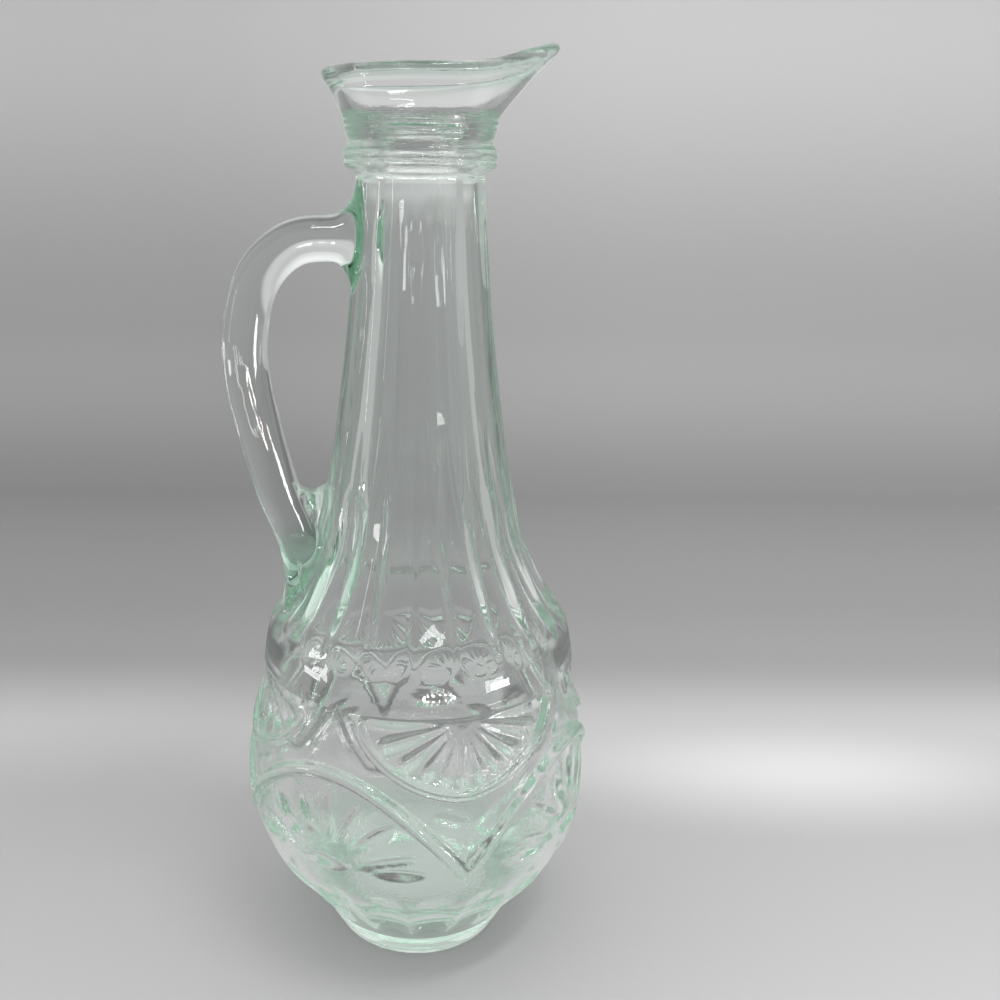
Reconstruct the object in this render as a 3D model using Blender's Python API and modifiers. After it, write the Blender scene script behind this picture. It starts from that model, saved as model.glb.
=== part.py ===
"""A moulded glass cruet: foot, bulb, fluted shoulder, neck, collar, pouring lip and handle.

Metres, +Z up. The cruet stands on z = 0, the handle points along -X and the spout along +X.
"""

import math

import bmesh
import bpy
from mathutils import Matrix, Vector

# Heights of the zones, which stand one on the other from the resting plane
FOOT_HEIGHT = 0.0085
BULB_HEIGHT = 0.0805
SHOULDER_HEIGHT = 0.0610
NECK_HEIGHT = 0.0620
COLLAR_HEIGHT = 0.0180
LIP_HEIGHT = 0.0052

# Outer radii
FOOT_RADIUS = 0.0238
FOOT_TOP_RADIUS = 0.0278
BULB_RADIUS = 0.0476
BELT_RADIUS = 0.0422
NECK_BOTTOM_RADIUS = 0.0219
NECK_TOP_RADIUS = 0.0158
COLLAR_TOP_RADIUS = 0.0202
RIM_RADIUS = 0.0235

# Inside: the heavy base, the wall of the bulb, the bore and the mouth
BASE_THICKNESS = 0.0090
BULB_WALL = 0.0046
SHOULDER_BORE_RADIUS = 0.0135
BORE_RADIUS = 0.0089
FUNNEL_BOTTOM_RADIUS = 0.0112
RIM_THICKNESS = 0.0024

# Ring that the foot rests on
REST_RING_WIDTH = 0.0042
REST_RECESS = 0.0012
HEEL_ROUND = 0.0009

# Spout pulled out of the lip
SPOUT_REACH = 0.0340
SPOUT_RISE = 0.0068

# Bead round the bottom of the collar
BEAD_RADIUS = 0.0189
BEAD_HEIGHT = 0.0050
WAIST_RADIUS = 0.0179

# Handle: reach from the axis to its outermost point, and its rod
HANDLE_REACH = 0.0503
HANDLE_ROD = 0.0112
HANDLE_UPPER_ROOT = 0.0190
HANDLE_WEB_WIDTH = 0.0080
FINGER_ROUND_RADIUS = 0.0043

# Moulded pattern. The rises are from the level of the arches' feet.
FLUTES = 20
FLUTE_DEPTH = 0.0013
PANEL_DEPTH = 0.0003
SCALLOP_DEPTH = 0.0015
ARCHES = 4
RIBBON_WIDTH = 0.0026
RIBBON_RISE = 0.0008
SWAG_DROP = 0.0195
ARCH_RISE = 0.0265
FAN_LEAVES = 7
FAN_RISE = 0.0054
LEAF_WIDTH = 0.0034
LEAF_DEPTH = 0.0011
SLOT_LENGTH = 0.0145
SLOT_RISE = 0.0020

# Clearance that keeps the zones apart
ZONE_GAP = 0.0003
MERGE_DISTANCE = 0.00001

TURN_STEPS = 60
BOWL_STEPS = 5
RIBBON_STEPS = 16
ROD_RESOLUTION = 4
RIBBON_RESOLUTION = 2
SHARP_ANGLE = math.radians(35)
GLASS_COLOUR = (0.80, 0.92, 0.87, 1.0)
GLASS_ROUGHNESS = 0.03

# Where each zone starts
BULB_BASE = FOOT_HEIGHT
SHOULDER_BASE = BULB_BASE + BULB_HEIGHT
NECK_BASE = SHOULDER_BASE + SHOULDER_HEIGHT
COLLAR_BASE = NECK_BASE + NECK_HEIGHT
LIP_BASE = COLLAR_BASE + COLLAR_HEIGHT
RIM_TOP = LIP_BASE + LIP_HEIGHT

# The foot's swelling: share of the way out from its bottom to its top radius, and of its height
FOOT_SWELL_SHARES = (0.5, 0.45)

# The belly is the widest height of the bulb, as a share of the bulb's height. The outline has a point at each
# of these shares of the way up to the belly, and from the belly up to the belt.
BELLY_SHARE = 0.515
BELLY_STEP_SHARES = (0.0, 0.12, 0.26, 0.42, 0.6, 0.8, 1.0)
BELT_STEP_SHARES = (0.2, 0.4, 0.6, 0.8, 1.0)
BELT_EASE = 1.3
# The cavity's bowl gives way to an even wall above this share of the way up to the belly
BOWL_TOP_SHARE = 0.5

# The concave shoulder: share of its height, and share of the way from the neck's radius out to the belt's
SHOULDER_SHARES = (
    (0.0, 1.0), (0.06, 0.955), (0.115, 0.90), (0.165, 0.80), (0.215, 0.69), (0.28, 0.575),
    (0.345, 0.48), (0.43, 0.37), (0.51, 0.285), (0.61, 0.21), (0.71, 0.148), (0.83, 0.082), (1.0, 0.0),
)
NECK_SHARES = (0.0, 0.2, 0.4, 0.6, 0.8, 1.0)
NECK_TAPER_POWER = 1.4

# The bead: share of the way from the neck's radius out to the bead's, and share of the bead's height
BEAD_SHARES = ((0.92, 1.0), (1.0, 0.78), (1.0, 0.42), (0.8, 0.16))
# The waist's lower and upper ends, as shares of the height from the bead to the lip
WAIST_SHARES = (0.1, 0.22)
# The fine ribs and the grooves beside them, as shares of the cone's height, and how proud the ribs stand, as a
# share of the cone's spread
RIB_SHARES = (0.68, 0.48)
GROOVE_SHARES = (0.78, 0.58, 0.38)
RIB_PROUD_SHARE = 0.18
# The bore opens in the collar and again in the lip: share of the way out, and share of the zone's height
COLLAR_BORE_SHARES = ((0.0, 0.62), (0.35, 0.82), (1.0, 1.0))
LIP_BORE_SHARES = ((0.42, 0.36), (0.78, 0.70))
FLARE_SHARES = (0.55, 0.38)

# How fast the spout's reach and rise fade away from the front
SPOUT_REACH_FADE = 10
SPOUT_RISE_FADE = 6

# Half widths of the swags and arches round the bulb, and their tops as shares of the bulb's height
SWAG_HALF_ANGLE = math.radians(38)
ARCH_HALF_ANGLE = math.radians(46)
SWAG_TURN = math.radians(-2.5)
SLOT_PITCH = math.radians(24)
SWAG_TOP_SHARE = 0.94
ARCH_TOP_SHARE = 0.755
# The leaves spread this far to each side, and an arch's fan is this wide and high as shares of the arch's rise
FAN_SPREAD = math.radians(75)
ARCH_FAN_WIDTH_SHARE = 0.9
ARCH_FAN_HEIGHT_SHARE = 0.8
# The scallops' lower and upper ends, as shares of the bulb's height
SCALLOP_SHARES = (0.03, 0.33)
# Where the flutes start and reach their full depth, as shares of the shoulder's height, and where the panels
# end, as a share of the neck's
FLUTE_START_SHARE = 0.1
FLUTE_FULL_SHARE = 0.2
PANEL_END_SHARE = 0.9

# The handle's centre line: share of the height from the tail's level up to the upper root's, and share of the
# way out from the wall to the far side of the loop
HANDLE_SHARES = (
    (1.0, -0.18), (1.0, 0.0), (1.003, 0.15), (1.005, 0.34), (0.998, 0.52), (0.975, 0.683), (0.93, 0.824),
    (0.867, 0.93), (0.79, 0.99), (0.715, 1.0), (0.645, 0.98), (0.56, 0.90), (0.467, 0.785), (0.373, 0.62),
    (0.284, 0.41), (0.206, 0.15), (0.132, -0.19), (0.06, -0.75),
)
# The tail's level as a share of the shoulder's height, and the upper root's as a share of the neck's
HANDLE_BOTTOM_SHARE = 0.082
HANDLE_TOP_SHARE = 0.745
# How much of the root's extra thickness the rod still has a step out, and how thin the tail gets
ROOT_FLARE_SHARE = 0.12
TAIL_SHARES = (0.93, 0.7)
# The web: its ends and the level at which it meets the rod, as shares of the handle's height, and its corners
WEB_SHARES = (0.15, 0.43)
WEB_ROD_SHARE = 0.373
WEB_ROUND_SHARE = 0.3


def between(low, high, share):
    """The value that lies a share of the way from low to high."""
    return low + (high - low) * share


def curve_value(points, x):
    """Straight-line reading of a list of (x, value) points that rises in x."""
    if x <= points[0][0]:
        return points[0][1]
    for (x0, v0), (x1, v1) in zip(points, points[1:]):
        if x <= x1:
            return between(v0, v1, (x - x0) / (x1 - x0))
    return points[-1][1]


# Outlines of the zones, as (height, radius) from the bottom up
def bulb_outline():
    """The belly: a parabola up from the foot to the widest height, then an easy curve in to the belt."""
    belly = BULB_HEIGHT * BELLY_SHARE
    points = []
    for share in BELLY_STEP_SHARES:
        out = 1 - (1 - share) ** 2
        points.append((BULB_BASE + belly * share, between(FOOT_TOP_RADIUS, BULB_RADIUS, out)))
    for share in BELT_STEP_SHARES:
        inward = share**2 * (1 + BELT_EASE * (1 - share))
        height = between(BULB_BASE + belly, SHOULDER_BASE, share)
        points.append((height, between(BULB_RADIUS, BELT_RADIUS, inward)))
    return points


def shoulder_outline(neck_radius, belt_radius):
    """The concave sweep between the belt and the neck, used for the outside and for the bore."""
    return [
        (SHOULDER_BASE + SHOULDER_HEIGHT * rise, between(neck_radius, belt_radius, out))
        for rise, out in SHOULDER_SHARES
    ]


def neck_outline(bottom_radius, top_radius):
    """The slow taper of the neck, used for the outside and for the bore."""
    return [
        (NECK_BASE + NECK_HEIGHT * rise, between(top_radius, bottom_radius, (1 - rise) ** NECK_TAPER_POWER))
        for rise in NECK_SHARES
    ]


# The whole outside from the foot to the collar
WALL_OUTLINE = (
    bulb_outline()
    + shoulder_outline(NECK_BOTTOM_RADIUS, BELT_RADIUS)[1:]
    + neck_outline(NECK_BOTTOM_RADIUS, NECK_TOP_RADIUS)[1:]
)


def wall_radius(height):
    """The outer radius of the wall at a height, between the foot and the collar."""
    return curve_value(WALL_OUTLINE, height)


# Tools of the workshop: a turned body, a tube, a cut and a join
def new_collection(name):
    collection = bpy.data.collections.new(name)
    bpy.context.scene.collection.children.link(collection)
    return collection


def glass_material(name):
    """Clear glass with a pale green cast."""
    material = bpy.data.materials.new(name)
    material.use_nodes = True
    shader = material.node_tree.nodes["Principled BSDF"]
    shader.inputs["Base Color"].default_value = GLASS_COLOUR
    shader.inputs["Roughness"].default_value = GLASS_ROUGHNESS
    shader.inputs["Metallic"].default_value = 0.0
    shader.inputs["Transmission Weight"].default_value = 1.0
    material.diffuse_color = GLASS_COLOUR
    return material


def turned(name, outline, closed, collection):
    """A body turned from (radius, height) points that run down its outer side."""
    mesh = bpy.data.meshes.new(name)
    last = len(outline) - 1
    edges = [(i, i + 1) for i in range(last)]
    if closed:
        edges.append((last, 0))
    mesh.from_pydata([(radius, 0, height) for radius, height in outline], edges, [])
    body = bpy.data.objects.new(name, mesh)
    collection.objects.link(body)
    screw = body.modifiers.new("turn", "SCREW")
    screw.steps = TURN_STEPS
    screw.render_steps = TURN_STEPS
    screw.use_merge_vertices = True
    screw.merge_threshold = MERGE_DISTANCE
    return body


def make_mesh(body):
    """A plain mesh of what the object and its modifiers make, with its doubles merged."""
    depsgraph = bpy.context.evaluated_depsgraph_get()
    mesh = bpy.data.meshes.new_from_object(body.evaluated_get(depsgraph))
    solid = bmesh.new()
    solid.from_mesh(mesh)
    bmesh.ops.remove_doubles(solid, verts=solid.verts, dist=MERGE_DISTANCE)
    bmesh.ops.recalc_face_normals(solid, faces=solid.faces)
    solid.to_mesh(mesh)
    solid.free()
    return mesh


def bake(body):
    """Turns an object with modifiers into a plain mesh object under the same name."""
    body.data = make_mesh(body)
    body.modifiers.clear()


def tube(name, points, radii, resolution, collection):
    """A rod along the points, made a closed mesh object."""
    curve = bpy.data.curves.new(name + "_route", "CURVE")
    curve.dimensions = "3D"
    curve.bevel_depth = 1.0
    curve.bevel_resolution = resolution
    curve.use_fill_caps = True
    spline = curve.splines.new("POLY")
    spline.points.add(len(points) - 1)
    for knot, place, radius in zip(spline.points, points, radii):
        knot.co = (*place, 1)
        knot.radius = radius
    route = bpy.data.objects.new(name + "_route", curve)
    collection.objects.link(route)
    bpy.context.view_layer.update()
    rod = bpy.data.objects.new(name, make_mesh(route))
    rod.matrix_world = route.matrix_world
    collection.objects.link(rod)
    bpy.data.objects.remove(route)
    return rod


def combine(body, tool, operation):
    """A Boolean of one object with another, left live on the first."""
    step = body.modifiers.new(operation.lower() + "_" + tool.name, "BOOLEAN")
    step.operation = operation
    step.solver = "EXACT"
    step.object = tool
    tool.hide_render = True
    tool.display_type = "WIRE"


def finish(body):
    """Gives a zone its glass and smooth shading."""
    bpy.context.view_layer.update()
    if body.modifiers:
        bake(body)
    body.data.materials.clear()
    body.data.materials.append(glass_material(body.name + "_glass"))
    body.data.shade_smooth()
    body.data.set_sharp_from_angle(angle=SHARP_ANGLE)


def is_outside(radius, height):
    """True for a point of the outer wall, and not of the bore or the underside."""
    return abs(radius - wall_radius(height)) < BULB_WALL / 4


def sink_valleys(body, depth_at):
    """Presses the flutes: the ridges keep their radius, and the glass between goes in by depth_at(height)."""
    pitch = math.tau / FLUTES
    for vertex in body.data.vertices:
        x, y, z = vertex.co
        radius = math.hypot(x, y)
        if not is_outside(radius, z):
            continue
        phase = (math.atan2(y, x) % pitch) / pitch
        bowl = math.sin(math.pi * phase)
        pressed = radius - depth_at(z) * bowl
        vertex.co.x = x * pressed / radius
        vertex.co.y = y * pressed / radius


def make_foot(collection):
    """The short solid foot, on a ring round a shallow recess."""
    top = FOOT_HEIGHT - ZONE_GAP
    ring_inner = FOOT_RADIUS - REST_RING_WIDTH
    swell_out, swell_up = FOOT_SWELL_SHARES
    outline = (
        (0, top),
        (FOOT_TOP_RADIUS, top),
        (between(FOOT_RADIUS, FOOT_TOP_RADIUS, swell_out), between(HEEL_ROUND, top, swell_up)),
        (FOOT_RADIUS, HEEL_ROUND),
        (FOOT_RADIUS - HEEL_ROUND, 0),
        (ring_inner, 0),
        (ring_inner - REST_RECESS, REST_RECESS),
        (0, REST_RECESS),
    )
    foot = turned("foot", outline, False, collection)
    finish(foot)


def scallop_depth(height):
    """Thumb-shaped scallops round the underside of the bulb."""
    low, high = (BULB_BASE + BULB_HEIGHT * end for end in SCALLOP_SHARES)
    share = (height - low) / (high - low)
    if not 0 < share < 1:
        return 0
    return SCALLOP_DEPTH * math.sin(math.pi * share)


def on_bulb(angle, height, sunk):
    """A point of the bulb's surface, or that far under it."""
    radius = wall_radius(height) - sunk
    return radius * math.cos(angle), radius * math.sin(angle), height


def ribbon_sunk(step):
    """How far the ribbon's centre line lies under the surface: its two ends run into the wall."""
    return RIBBON_WIDTH if step in (0, RIBBON_STEPS) else RIBBON_WIDTH / 2 - RIBBON_RISE


def swag_route(middle):
    """A half ellipse that hangs from the belt."""
    top = BULB_BASE + BULB_HEIGHT * SWAG_TOP_SHARE
    route = []
    for step in range(RIBBON_STEPS + 1):
        turn = math.pi * step / RIBBON_STEPS
        angle = middle - SWAG_HALF_ANGLE * math.cos(turn)
        route.append(on_bulb(angle, top - SWAG_DROP * math.sin(turn), ribbon_sunk(step)))
    return route


def arch_route(middle):
    """A round-headed arch that stands between two swags."""
    top = BULB_BASE + BULB_HEIGHT * ARCH_TOP_SHARE
    route = []
    for step in range(RIBBON_STEPS + 1):
        across = between(-1, 1, step / RIBBON_STEPS)
        route.append(on_bulb(middle + ARCH_HALF_ANGLE * across, top - ARCH_RISE * across**2, ribbon_sunk(step)))
    return route


def leaf(cuts, angle, height, direction, length):
    """Adds one leaf-shaped cut to cuts, its length lying in a direction measured from straight up."""
    slope = (wall_radius(height + LEAF_WIDTH) - wall_radius(height - LEAF_WIDTH)) / (2 * LEAF_WIDTH)
    out = Vector((math.cos(angle), math.sin(angle), -slope)).normalized()
    east = Vector((-math.sin(angle), math.cos(angle), 0))
    up = out.cross(east)
    along = east * math.sin(direction) + up * math.cos(direction)
    across = out.cross(along)
    axes = Matrix((along * length / 2, across * LEAF_WIDTH / 2, out * LEAF_DEPTH)).transposed()
    place = Matrix.Translation(on_bulb(angle, height, 0)) @ axes.to_4x4()
    bmesh.ops.create_uvsphere(cuts, u_segments=4, v_segments=2, radius=1, matrix=place)


def fan(cuts, middle, height, side, half_width, drop):
    """Adds leaves in a half ellipse round a point, upwards with side 1 and downwards with side -1."""
    for count in range(FAN_LEAVES):
        direction = between(-FAN_SPREAD, FAN_SPREAD, count / (FAN_LEAVES - 1))
        edge = 1 / math.hypot(math.sin(direction) / half_width, math.cos(direction) / drop)
        tip = edge - RIBBON_WIDTH
        length = edge - 2 * LEAF_WIDTH
        distance = tip - length / 2
        place = height + side * distance * math.cos(direction)
        angle = middle + distance * math.sin(direction) / BULB_RADIUS
        turned_way = direction if side > 0 else math.pi - direction
        leaf(cuts, angle, place, turned_way, length)


def make_leaves(cutters):
    """All the leaf cuts: a half daisy in each swag and each arch, and the level slots under each arch."""
    cuts = bmesh.new()
    swag_top = BULB_BASE + BULB_HEIGHT * SWAG_TOP_SHARE
    arch_foot = BULB_BASE + BULB_HEIGHT * ARCH_TOP_SHARE - ARCH_RISE
    arch_fan = ARCH_RISE * ARCH_FAN_WIDTH_SHARE, ARCH_RISE * ARCH_FAN_HEIGHT_SHARE
    for count in range(ARCHES):
        middle = math.tau * count / ARCHES
        fan(cuts, middle + SWAG_TURN, swag_top, -1, BULB_RADIUS * SWAG_HALF_ANGLE, SWAG_DROP)
        arch = middle + math.pi / ARCHES
        fan(cuts, arch, arch_foot + FAN_RISE, 1, *arch_fan)
        for place in (-SLOT_PITCH, 0, SLOT_PITCH):
            leaf(cuts, arch + place, arch_foot + SLOT_RISE, math.pi / 2, SLOT_LENGTH)
    return add_block("leaf_cuts", cuts, cutters)


def make_bulb(collection, cutters):
    """The belly with its heavy base, scallops below, and the ribbons of the swags and arches."""
    top = SHOULDER_BASE - ZONE_GAP
    floor = BULB_BASE + BASE_THICKNESS
    bowl_top = BULB_BASE + BULB_HEIGHT * BELLY_SHARE * BOWL_TOP_SHARE
    outside = bulb_outline()
    outside[-1] = (top, outside[-1][1])
    cavity = [(height, radius - BULB_WALL) for height, radius in outside if height > bowl_top]
    spring, spring_radius = cavity[0]
    bowl = [
        (spring_radius * math.sin(turn), spring - (spring - floor) * math.cos(turn))
        for turn in (math.pi / 2 * step / BOWL_STEPS for step in range(BOWL_STEPS))
    ]
    outline = bowl + [(radius, height) for height, radius in cavity]
    outline += [(radius, height) for height, radius in reversed(outside)]
    outline.append((0, BULB_BASE))
    bulb = turned("bulb", outline, False, collection)
    bake(bulb)
    sink_valleys(bulb, scallop_depth)
    combine(bulb, make_leaves(cutters), "DIFFERENCE")
    for count in range(ARCHES):
        middle = math.tau * count / ARCHES
        for kind, route in (
            ("swag", swag_route(middle + SWAG_TURN)),
            ("arch", arch_route(middle + math.pi / ARCHES)),
        ):
            name = f"{kind}_{count}"
            ribbon = tube(name, route, [RIBBON_WIDTH / 2] * len(route), RIBBON_RESOLUTION, cutters)
            combine(bulb, ribbon, "UNION")
    finish(bulb)


def flute_depth(height):
    """The flutes start above the belt, are deepest on the shoulder and run out up the neck."""
    share = (height - SHOULDER_BASE) / SHOULDER_HEIGHT
    if share < FLUTE_START_SHARE:
        return 0
    fade = (share - FLUTE_FULL_SHARE) / (1 - FLUTE_FULL_SHARE)
    return between(FLUTE_DEPTH, PANEL_DEPTH, min(1, max(0, fade)))


def make_shoulder(collection):
    """The fluted shoulder, above a plain belt."""
    outside = shoulder_outline(NECK_BOTTOM_RADIUS, BELT_RADIUS)
    bore = shoulder_outline(SHOULDER_BORE_RADIUS, BELT_RADIUS - BULB_WALL)
    top = NECK_BASE - ZONE_GAP
    outside[-1] = (top, outside[-1][1])
    bore[-1] = (top, bore[-1][1])
    outline = [(radius, height) for height, radius in reversed(outside)]
    outline += [(radius, height) for height, radius in bore]
    shoulder = turned("fluted_shoulder", outline, True, collection)
    bake(shoulder)
    sink_valleys(shoulder, flute_depth)
    finish(shoulder)


def make_neck(collection):
    """The tapering neck, with faint panels that run out under the collar."""
    outside = neck_outline(NECK_BOTTOM_RADIUS, NECK_TOP_RADIUS)
    bore = neck_outline(SHOULDER_BORE_RADIUS, BORE_RADIUS)
    top = COLLAR_BASE - ZONE_GAP
    outside[-1] = (top, outside[-1][1])
    bore[-1] = (top, bore[-1][1])
    outline = [(radius, height) for height, radius in reversed(outside)]
    outline += [(radius, height) for height, radius in bore]
    neck = turned("neck", outline, True, collection)
    bake(neck)
    panel_end = between(NECK_BASE, COLLAR_BASE, PANEL_END_SHARE)
    sink_valleys(neck, lambda height: PANEL_DEPTH if height < panel_end else 0)
    finish(neck)


def make_collar(collection):
    """The collar: a round bead at the bottom, a waist, and a cone with two fine ribs."""
    top = LIP_BASE - ZONE_GAP
    bead_top = COLLAR_BASE + BEAD_HEIGHT
    waist_bottom, waist_top = (between(bead_top, top, end) for end in WAIST_SHARES)
    rib_proud = (COLLAR_TOP_RADIUS - WAIST_RADIUS) * RIB_PROUD_SHARE
    outline = [(COLLAR_TOP_RADIUS, top)]
    for rise in sorted(RIB_SHARES + GROOVE_SHARES, reverse=True):
        proud = rib_proud if rise in RIB_SHARES else 0
        cone = between(WAIST_RADIUS, COLLAR_TOP_RADIUS, rise)
        outline.append((cone + proud, between(waist_top, top, rise)))
    outline += [(WAIST_RADIUS, waist_top), (WAIST_RADIUS, waist_bottom)]
    for out, rise in BEAD_SHARES:
        outline.append((between(NECK_TOP_RADIUS, BEAD_RADIUS, out), between(COLLAR_BASE, bead_top, rise)))
    outline += [(NECK_TOP_RADIUS, COLLAR_BASE), (BORE_RADIUS, COLLAR_BASE)]
    for out, rise in COLLAR_BORE_SHARES:
        outline.append((between(BORE_RADIUS, FUNNEL_BOTTOM_RADIUS, out), between(COLLAR_BASE, top, rise)))
    collar = turned("ribbed_collar", outline, True, collection)
    finish(collar)


def pull_spout(body):
    """Draws the front of the lip out and up, most at the rim."""
    for vertex in body.data.vertices:
        x, y, z = vertex.co
        radius = math.hypot(x, y)
        rise = (z - LIP_BASE) / LIP_HEIGHT
        facing = (1 + x / radius) / 2
        pulled = radius + (SPOUT_REACH - RIM_RADIUS) * rise * facing**SPOUT_REACH_FADE
        lifted = z + SPOUT_RISE * rise * facing**SPOUT_RISE_FADE
        vertex.co = (x * pulled / radius, y * pulled / radius, lifted)


def make_lip(collection):
    """The flared pouring lip, drawn out to a spout opposite the handle."""
    inner_rim = RIM_RADIUS - RIM_THICKNESS
    rim_round = RIM_THICKNESS / 4
    flare_out, flare_up = FLARE_SHARES
    outline = [
        (inner_rim + rim_round, RIM_TOP),
        (RIM_RADIUS - rim_round, RIM_TOP),
        (RIM_RADIUS, RIM_TOP - rim_round),
        (RIM_RADIUS, RIM_TOP - 2 * rim_round),
        (between(COLLAR_TOP_RADIUS, RIM_RADIUS, flare_out), between(LIP_BASE, RIM_TOP, flare_up)),
        (COLLAR_TOP_RADIUS, LIP_BASE),
        (FUNNEL_BOTTOM_RADIUS, LIP_BASE),
    ]
    for out, rise in LIP_BORE_SHARES:
        outline.append((between(FUNNEL_BOTTOM_RADIUS, inner_rim, out), between(LIP_BASE, RIM_TOP, rise)))
    outline.append((inner_rim, RIM_TOP - rim_round))
    lip = turned("pouring_lip", outline, True, collection)
    bake(lip)
    pull_spout(lip)
    finish(lip)


def handle_span():
    """The levels of the tail and of the upper root."""
    bottom = SHOULDER_BASE + SHOULDER_HEIGHT * HANDLE_BOTTOM_SHARE
    return bottom, NECK_BASE + NECK_HEIGHT * HANDLE_TOP_SHARE


def handle_route():
    """Points of the rod's centre line, from the upper root round to the tail on the shoulder."""
    bottom, top = handle_span()
    far = HANDLE_REACH - HANDLE_ROD / 2
    route = []
    for rise, out in HANDLE_SHARES:
        height = between(bottom, top, rise)
        route.append(Vector((-between(wall_radius(height), far, out), 0, height)))
    return route


def handle_radii():
    """The rod is even, flares where it meets the neck and thins towards the tail."""
    rod = HANDLE_ROD / 2
    root = HANDLE_UPPER_ROOT / 2
    even = [rod] * (len(HANDLE_SHARES) - 3 - len(TAIL_SHARES))
    return [root, root, between(rod, root, ROOT_FLARE_SHARE)] + even + [rod * thin for thin in TAIL_SHARES]


def make_web(cutters):
    """The glass that fills the corner between the rod and the shoulder, under a round finger opening."""
    bottom, top = handle_span()
    low, high = (between(bottom, top, end) for end in WEB_SHARES)
    climb = [(point.z, -point.x) for point in reversed(handle_route())]
    outer = curve_value(climb, between(bottom, top, WEB_ROD_SHARE))
    wall = wall_radius(high)
    inner = wall - HANDLE_ROD / 4
    centre = Vector((-(outer + inner) / 2, 0, (low + high) / 2))
    block = bmesh.new()
    bmesh.ops.create_cube(block, size=1)
    size = Matrix.Diagonal((outer - inner, HANDLE_WEB_WIDTH, high - low, 1))
    bmesh.ops.transform(block, matrix=Matrix.Translation(centre) @ size, verts=block.verts)
    outer_foot = [v for v in block.verts if v.co.x < centre.x and v.co.z < centre.z]
    bmesh.ops.translate(block, verts=outer_foot, vec=(HANDLE_ROD / 2, 0, 0))
    upright = [e for e in block.edges if abs(e.verts[0].co.z - e.verts[1].co.z) > (high - low) / 2]
    corner = HANDLE_WEB_WIDTH * WEB_ROUND_SHARE
    bmesh.ops.bevel(block, geom=upright, offset=corner, segments=2, profile=0.5, affect="EDGES", material=-1)
    web = add_block("handle_web", block, cutters)
    opening = bmesh.new()
    bmesh.ops.create_cone(
        opening,
        cap_ends=True,
        segments=24,
        radius1=FINGER_ROUND_RADIUS,
        radius2=FINGER_ROUND_RADIUS,
        depth=HANDLE_WEB_WIDTH * 2,
    )
    middle = wall + FINGER_ROUND_RADIUS
    turn = Matrix.Rotation(math.pi / 2, 4, "X")
    place = Matrix.Translation((-middle, 0, high))
    bmesh.ops.transform(opening, matrix=place @ turn, verts=opening.verts)
    combine(web, add_block("finger_round", opening, cutters), "DIFFERENCE")
    return web


def add_block(name, block, collection):
    """Puts a bmesh in the scene as an object."""
    mesh = bpy.data.meshes.new(name)
    block.to_mesh(mesh)
    block.free()
    body = bpy.data.objects.new(name, mesh)
    collection.objects.link(body)
    return body


def make_handle(collection, cutters):
    """The loop handle, cut to the shape of the wall that it is set against."""
    rod = tube("handle", handle_route(), handle_radii(), ROD_RESOLUTION, collection)
    combine(rod, make_web(cutters), "UNION")
    wall = [(0, COLLAR_BASE)]
    wall += [(radius + ZONE_GAP, height) for height, radius in reversed(WALL_OUTLINE)]
    wall.append((0, BULB_BASE))
    envelope = turned("wall_envelope", wall, False, cutters)
    bake(envelope)
    combine(rod, envelope, "DIFFERENCE")
    finish(rod)


def main():
    for old in list(bpy.data.objects):
        bpy.data.objects.remove(old)
    cruet = new_collection("glass_cruet")
    cutters = new_collection("cutters")
    make_foot(cruet)
    make_bulb(cruet, cutters)
    make_shoulder(cruet)
    make_neck(cruet)
    make_collar(cruet)
    make_lip(cruet)
    make_handle(cruet, cutters)


main()
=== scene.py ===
import math

import bmesh
import bpy
from mathutils import Matrix, Vector
from mathutils.geometry import interpolate_bezier
from mathutils.kdtree import KDTree


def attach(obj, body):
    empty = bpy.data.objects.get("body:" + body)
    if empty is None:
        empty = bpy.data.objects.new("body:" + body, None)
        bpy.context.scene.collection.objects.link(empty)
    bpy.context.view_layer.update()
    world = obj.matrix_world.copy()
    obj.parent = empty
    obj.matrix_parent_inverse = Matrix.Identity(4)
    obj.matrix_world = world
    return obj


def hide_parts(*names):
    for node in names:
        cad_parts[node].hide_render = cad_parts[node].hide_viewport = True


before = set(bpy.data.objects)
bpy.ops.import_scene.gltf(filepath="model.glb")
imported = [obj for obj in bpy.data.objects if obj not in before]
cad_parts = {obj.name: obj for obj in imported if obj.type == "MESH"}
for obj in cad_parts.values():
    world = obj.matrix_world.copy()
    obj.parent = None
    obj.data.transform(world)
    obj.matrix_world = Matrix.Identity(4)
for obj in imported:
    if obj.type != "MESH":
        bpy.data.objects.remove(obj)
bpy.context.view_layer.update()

# The camera stands close in front of the cruet, a little to its left, and looks down at it. The cruet
# stands left of the middle of the picture, which the shift makes room for.
CAMERA_SENSOR = 36.0
CAMERA_LENS = 37.83
CAMERA_SHIFT = 0.066
CAMERA_NEAR = 0.01
CAMERA_PLACE = (-0.0697, -0.2613, 0.2126)
CAMERA_TURN = math.radians(-15.78)
CAMERA_TILT = math.radians(72.64)
CAMERA_ROLL = math.radians(0.51)

camera_data = bpy.data.cameras.new("camera")
camera_data.sensor_width = CAMERA_SENSOR
camera_data.lens = CAMERA_LENS
camera_data.shift_x = CAMERA_SHIFT
camera_data.clip_start = CAMERA_NEAR
camera = bpy.data.objects.new("camera", camera_data)
bpy.context.collection.objects.link(camera)
camera.matrix_world = (
    Matrix.Translation(CAMERA_PLACE)
    @ Matrix.Rotation(CAMERA_TURN, 4, "Z")
    @ Matrix.Rotation(CAMERA_TILT, 4, "X")
    @ Matrix.Rotation(CAMERA_ROLL, 4, "Z")
)
bpy.context.scene.camera = camera

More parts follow.
